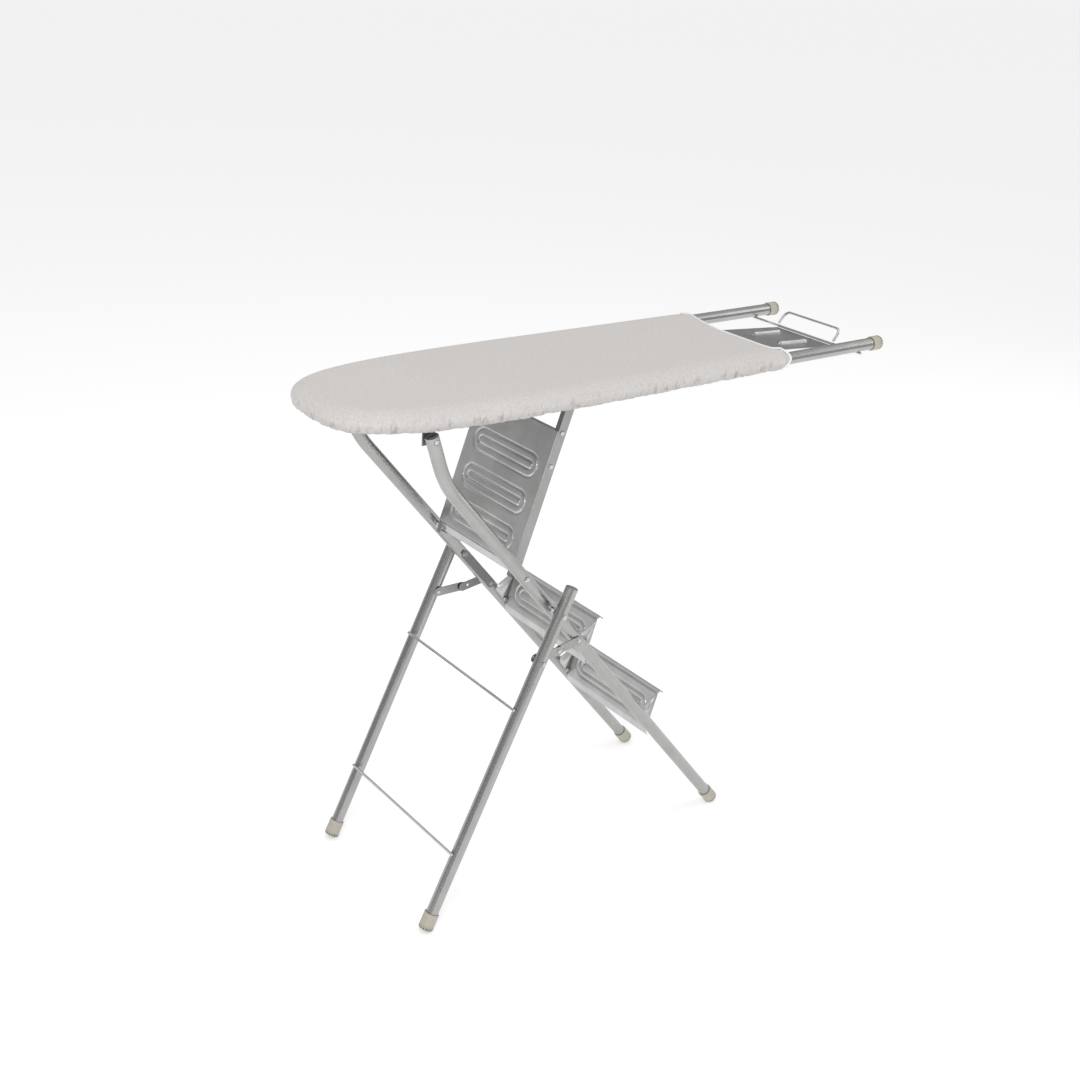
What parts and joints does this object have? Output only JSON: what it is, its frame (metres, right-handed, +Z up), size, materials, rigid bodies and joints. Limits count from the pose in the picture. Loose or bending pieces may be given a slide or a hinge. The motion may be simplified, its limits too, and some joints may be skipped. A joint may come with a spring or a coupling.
{
  "type": "ironing board",
  "caption": "Folding ironing board on a step-ladder frame, with a padded board, wire iron rest, fixed steps, a swinging platform and rear legs on folding links.",
  "frame": {"origin": "middle of the footprint, on the floor", "axes": "+Z up, +X from the round nose to the iron rest, +Y to the right-hand side"},
  "size_m": [1.119, 0.3482, 0.925],
  "materials": {
    "tube_silver": "satin silver paint on round tube",
    "cap_rubber": "matte, ribbed, beige grey",
    "plug_plastic": "matte grey plug",
    "step_steel": "pressed sheet, soft sheen",
    "link_steel": "plated flat bar",
    "rivet_steel": "plated rivet",
    "wire_chrome": "bright plated wire",
    "deck_steel": "grey paint, hidden by the cover",
    "pad_felt": "felt under the cover",
    "cover_cloth": "heathered warm grey cotton",
    "trim_white": "white piping"
  },
  "bodies": {
    "ladder_frame": {"ladder_tube_left": "tube_silver", "ladder_tube_right": "tube_silver", "ladder_foot_cap_left": "cap_rubber", "ladder_foot_cap_right": "cap_rubber", "step_lower": "step_steel", "step_upper": "step_steel", "step_rivet_lower_left": "rivet_steel", "step_rivet_lower_right": "rivet_steel", "step_rivet_upper_left": "rivet_steel", "step_rivet_upper_right": "rivet_steel", "leg_pivot_left": "rivet_steel", "leg_pivot_right": "rivet_steel", "platform_pivot_left": "rivet_steel", "platform_pivot_right": "rivet_steel", "frame_link_rivet_left": "rivet_steel", "frame_link_rivet_right": "rivet_steel", "brace_bar_left": "link_steel", "brace_bar_right": "link_steel"},
    "rear_legs": {"rear_leg_left": "tube_silver", "rear_leg_right": "tube_silver", "rear_leg_plug_left": "plug_plastic", "rear_leg_plug_right": "plug_plastic", "rear_foot_cap_left": "cap_rubber", "rear_foot_cap_right": "cap_rubber", "leg_rung_upper": "wire_chrome", "leg_rung_lower": "wire_chrome", "leg_link_rivet_left": "rivet_steel", "leg_link_rivet_right": "rivet_steel"},
    "leg_links": {"leg_link_left": "link_steel", "leg_link_right": "link_steel", "mid_link_rivet_left": "rivet_steel", "mid_link_rivet_right": "rivet_steel"},
    "frame_links": {"frame_link_left": "link_steel", "frame_link_right": "link_steel"},
    "platform": {"platform_panel": "step_steel", "platform_strut_left": "link_steel", "platform_strut_right": "link_steel", "platform_rod_lower": "rivet_steel", "platform_rod_upper": "rivet_steel", "platform_catch_rod": "rivet_steel"},
    "board": {"board_deck": "deck_steel", "board_pad": "pad_felt", "board_cover": "cover_cloth", "cover_binding": "trim_white", "board_rail_left": "tube_silver", "board_rail_right": "tube_silver", "rail_cap_left": "cap_rubber", "rail_cap_right": "cap_rubber", "hinge_bracket_left": "link_steel", "hinge_bracket_right": "link_steel", "hinge_pin_left": "rivet_steel", "hinge_pin_right": "rivet_steel", "catch_plate_left": "link_steel", "catch_plate_right": "link_steel", "rest_plate": "step_steel", "rest_cross_wire": "wire_chrome", "rest_loop_wire": "wire_chrome"}
  },
  "joints": [
    {"name": "legs_fold", "type": "hinge", "parent": "ladder_frame", "child": "rear_legs", "pos_m": [-0.1785, 0, 0.53891], "axis": [0, 1, 0], "range_deg": [-60, 0]},
    {"name": "leg_link_fold", "type": "hinge", "parent": "rear_legs", "child": "leg_links", "pos_m": [-0.21464, 0, 0.46093], "axis": [0, 1, 0], "range_deg": [0, 120.5]},
    {"name": "frame_link_fold", "type": "hinge", "parent": "ladder_frame", "child": "frame_links", "pos_m": [-0.1184, 0, 0.46729], "axis": [0, 1, 0], "range_deg": [-100, 0]},
    {"name": "board_fold", "type": "hinge", "parent": "ladder_frame", "child": "board", "pos_m": [-0.42239, 0, 0.8755], "axis": [0, 1, 0], "range_deg": [0, 41.6]},
    {"name": "platform_fold", "type": "hinge", "parent": "ladder_frame", "child": "platform", "pos_m": [-0.23732, 0, 0.60901], "axis": [0, 1, 0], "range_deg": [0, 98]}
  ],
  "couplings": [
    {"joint": "leg_link_fold", "follows": "legs_fold", "ratio": -2},
    {"joint": "frame_link_fold", "follows": "legs_fold", "ratio": 1.66},
    {"joint": "platform_fold", "follows": "board_fold", "ratio": 2.35}
  ]
}
